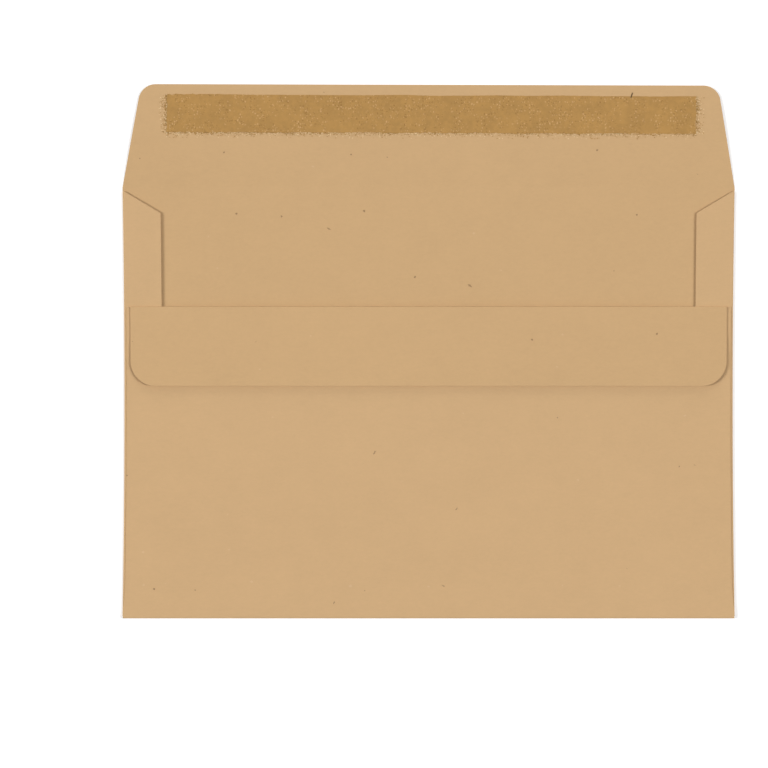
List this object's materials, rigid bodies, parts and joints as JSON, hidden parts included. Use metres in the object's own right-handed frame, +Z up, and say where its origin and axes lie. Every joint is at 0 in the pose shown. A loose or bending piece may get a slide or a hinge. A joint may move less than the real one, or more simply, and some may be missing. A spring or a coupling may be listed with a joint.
{
  "type": "self-seal wallet envelope",
  "caption": "Open C6 wallet envelope of folded manila paper, with drafted main flap, side flaps, turned-down tuck flap and a latex seal strip.",
  "frame": {"origin": "centre of the address panel's outer face, which lies on the table, midway between the side folds and midway between the flap fold and the bottom fold", "axes": "+X along the width of the envelope, +Y from the bottom fold towards the open main flap, +Z up, away from the table"},
  "size_m": [0.162, 0.1412, 0.002],
  "materials": {
    "manila_paper": "uncoated manila with a fine fibre texture and a few dark specks",
    "seal_latex": "dried latex film, mottled, slightly satin",
    "seam_gum": "dried adhesive film"
  },
  "bodies": {
    "root": {"envelope": "manila_paper", "flap_seal_strip": "seal_latex", "tuck_flap_seal_strip": "seal_latex", "seam_gum_left": "seam_gum", "seam_gum_right": "seam_gum"}
  },
  "joints": []
}
